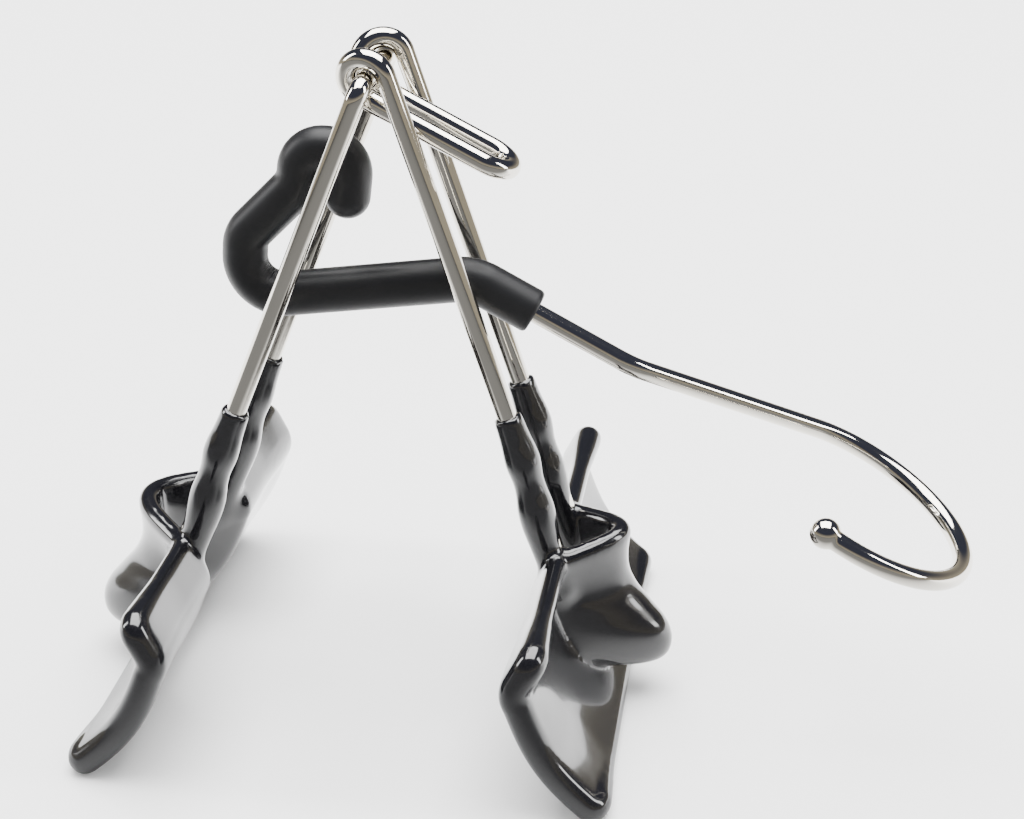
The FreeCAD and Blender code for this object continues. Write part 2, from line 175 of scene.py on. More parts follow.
# %% Start of a finish
def new_finish(name, metallic=0.0, ior=1.5):
    """A material with one Principled shader; returns it, its shader node and a Flow for its tree."""
    material = bpy.data.materials.new(name)
    material.use_nodes = True
    tree = material.node_tree
    shader = tree.nodes["Principled BSDF"]
    shader.inputs["Metallic"].default_value = metallic
    shader.inputs["IOR"].default_value = ior
    return material, shader, Flow(tree)


def feed(flow, shader, socket):
    flow.tree.links.new(flow.output, shader.inputs[socket])


def grey(level):
    return (level, level, level)


def two_tone(mask, first, second):
    """Colour from first to second as mask goes from 0 to 1; each is a triple or another colour's Flow."""
    first, second = [tone if isinstance(tone, Flow) else (*tone, 1.0) for tone in (first, second)]
    # A Mix node repeats its sockets' names for each kind of data, so the colour's go by number
    return mask.node("ShaderNodeMix", {"data_type": "RGBA"}, {0: mask, 6: first, 7: second}, 2)


def own_place(start):
    """The place of a point in its piece's own coordinates."""
    return start.node("ShaderNodeTexCoord", {}, {}, "Object")


def noise(place, scale, detail):
    return place.node("ShaderNodeTexNoise", {}, {"Vector": place, "Scale": scale, "Detail": detail}, "Fac")


def bump(height, strength, distance):
    sockets = {"Strength": strength, "Distance": distance, "Height": height}
    return height.node("ShaderNodeBump", {}, sockets, "Normal")


# %% [markdown]
# ### Bright nickel plate
# Drawn wire keeps faint lines along its length, and the plate over it is a warm, slightly uneven mirror. The
# tube carries two attributes of its own, `around` and `along`, so the lines can follow every bend. Stretched
# noise on them moves the roughness and a very shallow bump.

# %% Plated wire
LINES_AROUND, LINES_ALONG = 9.0, 25.0
PLATE_DARK, PLATE_PALE = (0.72, 0.685, 0.61), (0.82, 0.785, 0.71)
plated_wire, shader, start = new_finish("plated_wire", metallic=1.0)
around = start.node("ShaderNodeAttribute", {"attribute_name": "around"}, {}, "Vector")
along = start.node("ShaderNodeAttribute", {"attribute_name": "along"}, {}, "Fac")
lined = start.node("ShaderNodeCombineXYZ", {}, {
    "X": axis_of(around, "X") * LINES_AROUND,
    "Y": axis_of(around, "Y") * LINES_AROUND,
    "Z": along * LINES_ALONG})
lines = noise(lined, scale=1.0, detail=3.0)
clouds = noise(own_place(start), scale=90.0, detail=2.0)
feed(two_tone(clouds, PLATE_DARK, PLATE_PALE), shader, "Base Color")
feed(between(lines, low=0.04, high=0.09), shader, "Roughness")
feed(bump(lines, strength=0.06, distance=0.05 * MM), shader, "Normal")
print("finish:", plated_wire.name)

# %% [markdown]
# ### Dipped skin
# The jaws are dipped in liquid plastic, which sets with a high gloss and a slow, barely visible waviness
# where it sagged. Its colour is nearly black. A broad noise gives the waviness, a finer one the small pits.

# %% Dipped coating
SKIN_DARK, SKIN_PALE = (0.004, 0.004, 0.005), (0.007, 0.007, 0.008)
PIT_DEPTH_SHARE = 0.04
dipped_coating, shader, start = new_finish("dipped_coating", ior=1.52)
place = own_place(start)
sag = noise(place, scale=110.0, detail=1.0)
pits = noise(place, scale=1400.0, detail=2.0)
feed(two_tone(sag, SKIN_DARK, SKIN_PALE), shader, "Base Color")
feed(between(pits, low=0.13, high=0.19), shader, "Roughness")
feed(bump(sag + pits * PIT_DEPTH_SHARE, strength=0.25, distance=0.4 * MM), shader, "Normal")
shader.inputs["Coat Weight"].default_value = 0.8
shader.inputs["Coat Roughness"].default_value = 0.06
print("finish:", dipped_coating.name)

# %% [markdown]
# ### Soft sleeve
# The sleeve is extruded soft plastic: black, satin, with a fine even grain that scatters the light into broad
# soft highlights.

# %% Soft sleeve
SLEEVE_DARK, SLEEVE_PALE = (0.005, 0.005, 0.006), (0.009, 0.009, 0.010)
soft_sleeve, shader, start = new_finish("soft_sleeve")
place = own_place(start)
grain = noise(place, scale=2600.0, detail=3.0)
rubbed = noise(place, scale=60.0, detail=2.0)
feed(two_tone(rubbed, SLEEVE_DARK, SLEEVE_PALE), shader, "Base Color")
feed(between(rubbed, low=0.34, high=0.48), shader, "Roughness")
feed(bump(grain, strength=0.12, distance=0.1 * MM), shader, "Normal")
shader.inputs["Specular IOR Level"].default_value = 0.3
print("finish:", soft_sleeve.name)

# %% [markdown]
# ### Mill steel sheet
# The pressed sheet is sealed inside the skin, and shows only when the coating is taken off. It keeps the
# grey, lightly streaked face of rolled steel.

# %% Pressed sheet
SHEET_DARK, SHEET_PALE = (0.42, 0.42, 0.43), (0.56, 0.56, 0.57)
STREAK_SCALE = (900.0, 30.0, 900.0)
pressed_sheet, shader, start = new_finish("pressed_sheet", metallic=1.0)
rolled = start.node("ShaderNodeMapping", {}, {"Vector": own_place(start), "Scale": STREAK_SCALE})
streaks = noise(rolled, scale=1.0, detail=3.0)
feed(two_tone(streaks, SHEET_DARK, SHEET_PALE), shader, "Base Color")
feed(between(streaks, low=0.32, high=0.48), shader, "Roughness")
print("finish:", pressed_sheet.name)

# %% [markdown]
# ## Growing pieces with Geometry Nodes
# A wire and a dipped skin both follow a rule, so each is a node tree with named inputs. The helpers below
# make a tree, run it on a start mesh and keep the result as a plain mesh, since the export can't read a live
# tree.


# %% Trees and their results
INPUT_KINDS = {"float": "NodeSocketFloat", "int": "NodeSocketInt", "vector": "NodeSocketVector",
               "material": "NodeSocketMaterial"}


def new_tree(name, inputs):
    """A geometry tree; returns it, the incoming geometry and a Flow for each named input."""
    tree = bpy.data.node_groups.new(name, "GeometryNodeTree")
    tree.interface.new_socket("Geometry", in_out="INPUT", socket_type="NodeSocketGeometry")
    tree.interface.new_socket("Geometry", in_out="OUTPUT", socket_type="NodeSocketGeometry")
    for label, kind in inputs.items():
        tree.interface.new_socket(label, in_out="INPUT", socket_type=INPUT_KINDS[kind])
    group = tree.nodes.new("NodeGroupInput")
    named = {label: Flow(tree, group.outputs[label]) for label in inputs}
    return tree, Flow(tree, group.outputs["Geometry"]), named


def close_tree(geometry, material):
    """Ends a tree: smooth faces, real geometry, one material."""
    smooth = geometry.node("GeometryNodeSetShadeSmooth", {}, {"Geometry": geometry})
    real = smooth.node("GeometryNodeRealizeInstances", {}, {"Geometry": smooth})
    painted = real.node("GeometryNodeSetMaterial", {}, {"Geometry": real, "Material": material})
    output = painted.tree.nodes.new("NodeGroupOutput")
    painted.tree.links.new(painted.output, output.inputs["Geometry"])


def grow(name, tree, values, start_mesh):
    """Runs a tree on a start mesh and keeps what comes out as a plain object of that name."""
    seed = bpy.data.objects.new(name + "_seed", start_mesh)
    bpy.context.scene.collection.objects.link(seed)
    modifier = seed.modifiers.new("grow", "NODES")
    modifier.node_group = tree
    for item in tree.interface.items_tree:
        if item.in_out == "INPUT" and item.name in values:
            modifier[item.identifier] = values[item.name]
    graph = bpy.context.evaluated_depsgraph_get()
    mesh = bpy.data.meshes.new_from_object(seed.evaluated_get(graph))
    bpy.data.objects.remove(seed)
    mesh.name = name
    piece = bpy.data.objects.new(name, mesh)
    bpy.context.scene.collection.objects.link(piece)
    print(name, "has", len(mesh.polygons), "faces")
    return piece


# %% [markdown]
# ## Bent wire
# All three wires come from one tree. It takes a path of straight runs whose corners carry a bend radius,
# rounds them, walks along the path in small steps and sweeps a circle along it. The girth follows the
# distance from each end, so the same tree also rounds a sleeve's tip and swells the ball on the hook's end.

# %% The wire tree
BALL_NECK = 0.6
wire_tree, path_mesh, wire = new_tree("bent_wire", {
    "Radius": "float", "Step": "float", "Sides": "int", "Start round": "float", "End round": "float",
    "Ball radius": "float", "Material": "material"})
bends = path_mesh.node("GeometryNodeInputNamedAttribute", {"data_type": "FLOAT"}, {"Name": "bend"},
                       "Attribute")
path = path_mesh.node("GeometryNodeMeshToCurve", {}, {"Mesh": path_mesh})
path = path.node("GeometryNodeFilletCurve", {"mode": "POLY"},
                 {"Curve": path, "Count": 14, "Radius": bends, "Limit Radius": True})
path = path.node("GeometryNodeResampleCurve", {"mode": "LENGTH"}, {"Curve": path, "Length": wire["Step"]})
walked = path.node("GeometryNodeSplineParameter", {}, {}, "Length")
left_over = path.node("GeometryNodeSplineLength", {}, {}, "Length") - walked


def drawn_in(distance, reach):
    """How far the surface draws in near an end that is rounded over reach."""
    short = (reach - distance).at_least(0.0)
    return reach - (reach * reach - short * short).at_least(0.0).root()


girth = wire["Radius"] - drawn_in(walked, wire["Start round"]) - drawn_in(left_over, wire["End round"])
ball = wire["Ball radius"]
from_ball = left_over - ball
swell = (ball * ball - from_ball * from_ball).at_least(0.0).root()
body_end = girth * left_over.maths("GREATER_THAN", left_over, ball)
girth = girth.maths("SMOOTH_MAX", body_end, swell, BALL_NECK * MM)
path = path.node("GeometryNodeStoreNamedAttribute", {"data_type": "FLOAT", "domain": "POINT"},
                 {"Geometry": path, "Name": "along", "Value": walked})
ring = path.node("GeometryNodeCurvePrimitiveCircle", {}, {"Resolution": wire["Sides"], "Radius": 1.0})
spot = path.node("GeometryNodeInputPosition", {}, {})
ring = ring.node("GeometryNodeStoreNamedAttribute", {"data_type": "FLOAT_VECTOR", "domain": "POINT"},
                 {"Geometry": ring, "Name": "around", "Value": spot})
tube = path.node("GeometryNodeCurveToMesh", {},
                 {"Curve": path, "Profile Curve": ring, "Scale": girth, "Fill Caps": True})
close_tree(tube, wire["Material"])
print("tree:", wire_tree.name)

# %% [markdown]
# The paths repeat the CAD source's sizes, from the axle and the hook's bend that the joints give. A path is a
# chain of points with a bend radius each: nought where the points already follow an arc closely.


# %% Sizes of the wires
def mm(x, y, z):
    return Vector((x, y, z)) * MM


def turned(degrees):
    return math.cos(math.radians(degrees)), math.sin(math.radians(degrees))


def eased(share):
    """Smooth step from 0 to 1, level at both ends."""
    return share * share * (3 - 2 * share)


WIRE_RADIUS = 2.0
EYE_RADIUS = 4.25
LEFT_LEG_Y = 14.15
RIGHT_LEG_Y = 9.3
LEVER_Y = 5.05
AXLE_CORNER = 2.6
LEG_END_RISE = 1.0
BEND_REACH, BEND_DROP, BEND_RADIUS = 39.1, 104.7, 4.0
TOP_FLANGE, TOP_FLARE = 6.1, 27.0
LOW_FLANGE, LOW_FLARE = 27.1, 34.5
flare_cos, flare_sin = turned(TOP_FLARE)
EDGE_REACH = BEND_REACH - BEND_RADIUS * flare_cos + TOP_FLANGE * flare_sin
EDGE_DROP = BEND_DROP - BEND_RADIUS * flare_sin - TOP_FLANGE * flare_cos
LEFT_LEAN = math.degrees(math.atan2(EDGE_REACH, EDGE_DROP))
RIGHT_LEAN = LEFT_LEAN - math.degrees(math.asin(EYE_RADIUS / math.hypot(EDGE_REACH, EDGE_DROP)))
# A bend or a rounding this little short of its full radius leaves a last step with some length
NEARLY = 0.999
print("legs lean", round(LEFT_LEAN, 2), "and", round(RIGHT_LEAN, 2), "degrees")


def leg_foot(side, y):
    """Where a leg meets the sheet's top edge: side is -1 for the left frame, 1 for the right one."""
    return AXLE + mm(side * EDGE_REACH, y, -EDGE_DROP)


def leg_up(side):
    """Direction up a leg, from the sheet to the axle."""
    lean_cos, lean_sin = turned(LEFT_LEAN if side < 0 else RIGHT_LEAN)
    return Vector((-side * lean_sin, 0, lean_cos))


def leg_end(side, y):
    """Where the wire of a leg ends, inside its socket."""
    return leg_foot(side, y) + leg_up(side) * LEG_END_RISE * MM


def path_of(name, points):
    """Start mesh of a wire: a chain of (point, bend radius in millimetres)."""
    mesh = bpy.data.meshes.new(name)
    mesh.from_pydata([point for point, bend in points], [(i, i + 1) for i in range(len(points) - 1)], [])
    values = mesh.attributes.new("bend", "FLOAT", "POINT")
    values.data.foreach_set("value", [bend * MM for point, bend in points])
    return mesh


def draw_wire(name, body, node, points, changes=None):
    """One bent wire in place of a node; changes holds the inputs in which it differs from plain wire."""
    values = {"Radius": WIRE_RADIUS * MM, "Step": 0.4 * MM, "Sides": 28, "Start round": 0.0, "End round": 0.0,
              "Ball radius": 0.0, "Material": plated_wire}
    values.update(changes or {})
    piece = grow(name, wire_tree, values, path_of(name + "_path", points))
    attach(piece, body)
    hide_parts(node)
    return piece


# %% [markdown]
# ### Left frame
# One wire: up the front leg, across as the hinge's axle, and down the rear leg.

# %% Left frame wire
left_points = [
    (leg_end(-1, -LEFT_LEG_Y), 0),
    (AXLE + mm(0, -LEFT_LEG_Y, 0), AXLE_CORNER),
    (AXLE + mm(0, LEFT_LEG_Y, 0), AXLE_CORNER),
    (leg_end(-1, LEFT_LEG_Y), 0),
]
left_wire = draw_wire("left_wire", "left_jaw", "left_frame_wire", left_points)

# %% [markdown]
# ### Right frame
# The front leg winds round the axle as an eye, runs on as one bar of the lever, turns back at the lever's end
# and does the same in reverse. The eye drifts sideways by a little more than one wire as it turns, along a
# smooth step.

# %% Right frame wire
LEVER_LENGTH, LEVER_DROP = 26.5, 26.5
EYE_TURN_END = 270 - LEVER_DROP
EYE_STEPS = 60


def eye_point(share):
    """Point on the front eye: share 0 is at the leg, 1 at the lever."""
    turn_cos, turn_sin = turned(RIGHT_LEAN + (EYE_TURN_END - RIGHT_LEAN) * share)
    drift = (RIGHT_LEG_Y - LEVER_Y) * eased(share)
    return AXLE + mm(EYE_RADIUS * turn_cos, drift - RIGHT_LEG_Y, EYE_RADIUS * turn_sin)


lever_cos, lever_sin = turned(LEVER_DROP)
lever_way = Vector((lever_cos, 0, -lever_sin))
lever_end = eye_point(1) + lever_way * (LEVER_LENGTH + LEVER_Y) * MM
half = [(leg_end(1, -RIGHT_LEG_Y), 0)]
half += [(eye_point(step / EYE_STEPS), 0) for step in range(EYE_STEPS + 1)]
half.append((lever_end, LEVER_Y * NEARLY))
mirrored = [(Vector((point.x, -point.y, point.z)), bend) for point, bend in reversed(half)]
right_wire = draw_wire("right_wire", "right_jaw", "right_frame_wire", half + mirrored)

# %% [markdown]
# ### Hook
# The crook and shank lie in one plane, beside the front right leg. At the neck the wire bends aside into a
# round hook, and its end is upset into a ball so that it can't scratch or snag.

# %% Hook wire
SHANK_DROP = 27.5
NECK_ALONG, NECK_RADIUS = 36.0, 15.0
HOOK_ALONG, HOOK_ASIDE, HOOK_RADIUS = 88.0, -2.5, 24.0
HOOK_TIP_TURN = 251.4 - 360.0
HOOK_BEND_RADIUS = 10.0
BALL_RADIUS = 3.0
HOOK_STEPS = 150
shank_cos, shank_sin = turned(SHANK_DROP)
SHANK = Vector((shank_cos, 0, -shank_sin))
ACROSS = Vector((0, 1, 0))
to_centre = Vector((HOOK_ALONG - NECK_ALONG, HOOK_ASIDE))
centre_turn = math.degrees(math.atan2(to_centre.y, to_centre.x))
round_start = centre_turn + math.degrees(math.asin(HOOK_RADIUS / to_centre.length)) + 90
round_end = HOOK_TIP_TURN - math.degrees(BALL_RADIUS / HOOK_RADIUS)


def hook_point(turn):
    turn_cos, turn_sin = turned(turn)
    flat = SHANK * (HOOK_ALONG + HOOK_RADIUS * turn_cos) + ACROSS * (HOOK_ASIDE + HOOK_RADIUS * turn_sin)
    return HOOK_BEND + flat * MM


# %% [markdown]
# The crook is a chain of bends to the left of the axle and below it: the curl that ends it, an arm down to an
# elbow, and the crook's own turn back to the shank.

# %% Crook of the hook
CURL_LEFT, CURL_RIGHT, CURL_DROP, CURL_RADIUS = 14.2, 4.2, 15.4, 4.7
CURL_TIP, CURL_LEAN = 9.2, 1.0
ARM_REACH, ARM_DROP, ARM_RADIUS = 14.8, 22.5, 7.0
ELBOW_REACH, ELBOW_DROP, ELBOW_RADIUS = 26.0, 34.0, 6.0
CROOK_REACH, CROOK_DROP, CROOK_RADIUS = 26.9, 47.2, 7.4


def crook_point(reach, drop):
    """Point in the hook's plane, so far to the left of the axle and so far below it."""
    return Vector((AXLE.x - reach * MM, HOOK_BEND.y, AXLE.z - drop * MM))


curl_turn = crook_point(CURL_RIGHT, CURL_DROP)
curl_end = crook_point(CURL_RIGHT + CURL_LEAN, CURL_DROP + CURL_TIP)
crook = [
    (curl_turn, CURL_RADIUS),
    (crook_point(CURL_LEFT, CURL_DROP), CURL_RADIUS),
    (crook_point(ARM_REACH, ARM_DROP), ARM_RADIUS),
    (crook_point(ELBOW_REACH, ELBOW_DROP), ELBOW_RADIUS),
    (crook_point(CROOK_REACH, CROOK_DROP), CROOK_RADIUS),
    (HOOK_BEND, HOOK_BEND_RADIUS),
]
hook_points = [(curl_end, 0)] + crook
hook_points.append((HOOK_BEND + SHANK * NECK_ALONG * MM, NECK_RADIUS))
for step in range(HOOK_STEPS + 1):
    hook_points.append((hook_point(round_start + (round_end - round_start) * step / HOOK_STEPS), 0))
hook_piece = draw_wire("hook", "hook", "hook_wire", hook_points, {"Ball radius": BALL_RADIUS * MM})

# %% [markdown]
# ### Sleeve
# The soft sleeve is the same sweep with a larger girth. Its tip over the curl is closed and round, and its
# open end has a small rounded rim where the wire comes out.

# %% Hook sleeve
SLEEVE_RADIUS, SLEEVE_PAST_BEND, SLEEVE_RIM = 4.5, 14.0, 1.2
sleeve_points = [(curl_end + (curl_end - curl_turn).normalized() * SLEEVE_RADIUS * MM, 0)] + crook
sleeve_points.append((HOOK_BEND + SHANK * SLEEVE_PAST_BEND * MM, 0))
sleeve = draw_wire("sleeve", "hook", "hook_sleeve", sleeve_points, {
    "Radius": SLEEVE_RADIUS * MM, "Step": 0.25 * MM, "Sides": 40, "Start round": SLEEVE_RADIUS * NEARLY * MM,
    "End round": SLEEVE_RIM * MM, "Material": soft_sleeve})

# %% [markdown]
# ## Dipped jaws
# A dipped skin is, by nature, every point within a set distance of the metal, with the liquid's fillets where
# two forms meet. So the tree fills a block of small cells with that distance: to the middle of the pressed
# sheet, and to the rolled sockets round the legs, which bend inwards as they near the sheet. A smooth minimum
# joins the two, and the surface is drawn where the distance equals the skin's thickness, with a little more
# near the jaw's ends, where the liquid gathered. Rims come out round and junctions soft, as on the real
# thing.

# %% The skin tree
SOCKET_LENGTH, RIB_LENGTH = 33.0, 7.0
# Girth of a socket as a share of its widest, at shares of its length: two swellings, a crimp between them
SOCKET_GIRTHS = [(0.0, 0.78), (0.14, 0.86), (0.26, 0.98), (0.38, 1.0), (0.48, 0.82), (0.58, 0.80),
                 (0.66, 0.95), (0.74, 0.92), (0.84, 0.80), (1.0, 0.72)]
SOCKET_TOP_ROUND = 0.8
BENT_SHARE = 0.8
SURFACE_DENSITY, DENSITY_FALL = 0.5, 100.0
skin_tree, sheet_mesh, skin = new_tree("dipped_skin", {
    "Half thickness": "float", "Bead": "float", "Bead start": "float", "Bead end": "float",
    "Leg foot": "vector", "Leg way": "vector", "Leg bend": "vector", "Socket length": "float",
    "Widest socket": "float", "Fillet": "float", "Low corner": "vector", "High corner": "vector",
    "Cells X": "int", "Cells Y": "int", "Cells Z": "int", "Material": "material"})
spot = sheet_mesh.node("GeometryNodeInputPosition", {}, {})
sheet_gap = sheet_mesh.node("GeometryNodeProximity", {"target_element": "FACES"},
                            {"Geometry": sheet_mesh, "Sample Position": spot}, "Distance")
cell_y = axis_of(spot, "Y")
aside = cell_y.maths("ABSOLUTE", cell_y)
bead = ramp(aside, skin["Bead start"], skin["Bead end"]) * skin["Bead"]
sheet_skin = sheet_gap - skin["Half thickness"] - bead


def vector_maths(operation, first, second, output="Vector"):
    return first.node("ShaderNodeVectorMath", {"operation": operation}, {0: first, 1: second}, output)


# The two legs of a jaw mirror each other, so the cell's own Y is folded to one side
folded = spot.node("ShaderNodeCombineXYZ", {}, {"X": axis_of(spot, "X"), "Y": aside, "Z": axis_of(spot, "Z")})
from_foot = vector_maths("SUBTRACT", folded, skin["Leg foot"])
height = vector_maths("DOT_PRODUCT", from_foot, skin["Leg way"], "Value")
nearest = scaled(skin["Leg way"], height.at_least(-RIB_LENGTH * MM))
bent_by = scaled(skin["Leg bend"], 1.0 - ramp(height, 0.0, BENT_SHARE * skin["Socket length"]))
axis_point = vector_maths("ADD", nearest, bent_by)
off_axis = vector_maths("LENGTH", vector_maths("SUBTRACT", from_foot, axis_point), (0, 0, 0), "Value")
share = height / skin["Socket length"]
profile = share.node("ShaderNodeValToRGB", {"stops": SOCKET_GIRTHS}, {"Fac": share})
profile.output.node.color_ramp.interpolation = "B_SPLINE"
socket_skin = off_axis - profile * skin["Widest socket"]
above_top = height - skin["Socket length"]
socket_skin = socket_skin.maths("SMOOTH_MAX", socket_skin, above_top, SOCKET_TOP_ROUND * MM)
whole_skin = socket_skin.maths("SMOOTH_MIN", sheet_skin, socket_skin, skin["Fillet"])
inside = SURFACE_DENSITY - whole_skin * DENSITY_FALL
block = inside.node("GeometryNodeVolumeCube", {}, {
    "Density": inside, "Background": 0.0, "Min": skin["Low corner"], "Max": skin["High corner"],
    "Resolution X": skin["Cells X"], "Resolution Y": skin["Cells Y"], "Resolution Z": skin["Cells Z"]})
surface = block.node("GeometryNodeVolumeToMesh", {"resolution_mode": "GRID"},
                     {"Volume": block, "Threshold": SURFACE_DENSITY})
settled = surface.node("GeometryNodeBlurAttribute", {"data_type": "FLOAT_VECTOR"},
                       {"Value": surface.node("GeometryNodeInputPosition", {}, {}), "Iterations": 3}, "Value")
surface = surface.node("GeometryNodeSetPosition", {}, {"Geometry": surface, "Position": settled})
close_tree(surface, skin["Material"])
print("tree:", skin_tree.name)

# %% [markdown]
# The middle of the sheet is a grid. Each row is one step down the jaw's section, from the flared top edge
# round the gripping bend to the lower edge. Between the legs the same row swings outwards into the flute,
# which is open at the top, swells into a lobe near its foot and closes into the flange below it. The flute's
# waist and lobe and the flange's bow follow the photo, and differ here from the straighter CAD solids.

# %% Lines of the sheet's middle surface
FLUTE_LINE = [(50.2, 9.6), (49.8, 5.0), (50.3, 0.5), (52.4, -4.0), (55.9, -8.3), (58.9, -12.0), (59.8, -15.4),
              (58.3, -18.8), (54.5, -21.6)]
FLUTE_ROOT, FLUTE_POWER = 2.5, 0.6
FLANGE_BOW = 2.2
TOP_ROWS, ARC_ROWS, LOW_ROWS = 10, 16, 46
WING_COLUMNS, FLUTE_COLUMNS = 26, 40
STEPS_PER_KNOT = 24


def wing_line():
    """Section of the wings, from the top edge down: outwards reach and height above the bend's centre."""
    top_cos, top_sin = turned(TOP_FLARE)
    low_cos, low_sin = turned(LOW_FLARE)
    points = []
    for step in range(TOP_ROWS):
        flange = TOP_FLANGE * (1 - step / TOP_ROWS)
        points.append((BEND_REACH - BEND_RADIUS * top_cos + flange * top_sin,
                       BEND_RADIUS * top_sin + flange * top_cos))
    for step in range(ARC_ROWS):
        turn_cos, turn_sin = turned(TOP_FLARE - (TOP_FLARE + LOW_FLARE) * step / ARC_ROWS)
        points.append((BEND_REACH - BEND_RADIUS * turn_cos, BEND_RADIUS * turn_sin))
    for step in range(LOW_ROWS + 1):
        flange = LOW_FLANGE * step / LOW_ROWS
        bow = FLANGE_BOW * math.sin(math.pi * step / LOW_ROWS)
        points.append((BEND_REACH - BEND_RADIUS * low_cos + flange * low_sin - bow * low_cos,
                       -BEND_RADIUS * low_sin - flange * low_cos - bow * low_sin))
    return np.array(points)


def walked_along(points):
    """Distance from the first point to each one, along the line."""
    return np.concatenate([[0], np.cumsum(np.linalg.norm(np.diff(points, axis=0), axis=1))])


def smooth_line(points, count):
    """Even points along a smooth curve through the given ones, a Catmull-Rom spline."""
    knots = np.array(points, float)
    padded = np.vstack([2 * knots[0] - knots[1], knots, 2 * knots[-1] - knots[-2]])
    fine = []
    for first in range(len(knots) - 1):
        a, b, c, d = padded[first:first + 4]
        for t in np.linspace(0, 1, STEPS_PER_KNOT, endpoint=False):
            fine.append(0.5 * (2 * b + (c - a) * t + (2 * a - 5 * b + 4 * c - d) * t ** 2
                               + (3 * b - a - 3 * c + d) * t ** 3))
    fine = np.array(fine + [knots[-1]])
    steps = walked_along(fine)
    wanted = np.linspace(0, steps[-1], count)
    return np.column_stack([np.interp(wanted, steps, fine[:, axis]) for axis in (0, 1)])


def plan_line(half_length, leg_y, depth):
    """Plan of one row: along the front wing, out round the flute, and back along the rear wing."""
    foot = leg_y + FLUTE_ROOT
    wing = np.linspace(half_length, foot, WING_COLUMNS, endpoint=False)
    y = np.concatenate([wing, np.linspace(foot, 0.0, FLUTE_COLUMNS)])
    swing = 0.5 + 0.5 * np.cos(math.pi * np.minimum(y / foot, 1.0))
    u = depth * np.maximum(swing, 0.0) ** FLUTE_POWER
    front = np.column_stack([-y, u])
    rear = np.column_stack([y, u])[-2::-1]
    return np.vstack([front, rear])


# %% [markdown]
# The grid puts these lines together. The flute's rows melt into the wing's rows over a short stretch, corners
# are rounded by shortening the first and last rows, and the lower edge leaves room for the thicker ends.

# %% The sheet's middle surface
JAW_LENGTH = 101.6
WING_CORNER = 2.0
BEAD, BEAD_START, BEAD_END = 0.9, 30.0, 50.0
FLUTE_ROWS = 56
MELT_START, MELT_ROWS = FLUTE_ROWS - 12, 14
NO_DEPTH = 1e-6


def bead_at(y):
    """Extra thickness of the skin near the jaw's ends, where the liquid gathered."""
    return BEAD * eased(min(max((abs(y) - BEAD_START) / (BEAD_END - BEAD_START), 0.0), 1.0))


def middle_sheet(name, side, leg_y):
    """Grid mesh of one jaw's middle surface."""
    wings = wing_line()
    flute = np.vstack([smooth_line(FLUTE_LINE, FLUTE_ROWS), wings[FLUTE_ROWS:]])
    edge_gap = walked_along(wings)
    edge_gap = np.minimum(edge_gap, edge_gap[-1] - edge_gap)
    melted = eased(np.clip((np.arange(len(wings)) - MELT_START) / MELT_ROWS, 0, 1))[:, None]
    flute = flute * (1 - melted) + wings * melted
    points = []
    for row, (wing, out) in enumerate(zip(wings, flute)):
        short = max(WING_CORNER - edge_gap[row], 0.0)
        half_length = JAW_LENGTH / 2 - BEAD - WING_CORNER + math.sqrt(WING_CORNER ** 2 - short ** 2)
        way = out - wing
        depth = float(np.linalg.norm(way))
        way = way / depth if depth > NO_DEPTH else np.array([1.0, 0.0])
        for y, u in plan_line(half_length, leg_y, depth):
            reach, rise = wing + way * u
            rise = max(rise, wings[-1][1] + bead_at(y))
            points.append(AXLE + mm(side * reach, y, rise - BEND_DROP))
    wide = len(points) // len(wings)
    faces = [(r * wide + c, r * wide + c + 1, r * wide + wide + c + 1, r * wide + wide + c)
             for r in range(len(wings) - 1) for c in range(wide - 1)]
    mesh = bpy.data.meshes.new(name)
    mesh.from_pydata(points, [], faces)
    return mesh


# %% [markdown]
# The steel inside is the same middle surface, thickened to both sides. Its tree steps back by half the
# sheet's thickness, pushes all faces out together by the whole of it, and closes the back with the faces
# turned over.

# %% The sheet tree
WELD_GAP = 0.001
steel_tree, sheet_mesh, steel = new_tree("thick_sheet", {"Thickness": "float", "Material": "material"})
facing = sheet_mesh.node("GeometryNodeInputNormal", {}, {})
back = sheet_mesh.node("GeometryNodeSetPosition", {},
                       {"Geometry": sheet_mesh, "Offset": scaled(facing, steel["Thickness"] * -0.5)})
front = back.node("GeometryNodeExtrudeMesh", {"mode": "FACES"},
                  {"Mesh": back, "Offset Scale": steel["Thickness"], "Individual": False})
turned_back = back.node("GeometryNodeFlipFaces", {}, {"Mesh": back})
both = front.node("GeometryNodeJoinGeometry", {}, {})
for half_sheet in (front, turned_back):
    steel_tree.links.new(half_sheet.output, both.output.node.inputs["Geometry"])
welded = both.node("GeometryNodeMergeByDistance", {}, {"Geometry": both, "Distance": WELD_GAP * MM})
close_tree(welded, steel["Material"])
print("tree:", steel_tree.name)

# %% [markdown]
# Both jaws come from the same tree. The left one straddles the wider left legs, the right one the narrower
# right legs. The block of cells is a little larger than each sheet and its sockets.

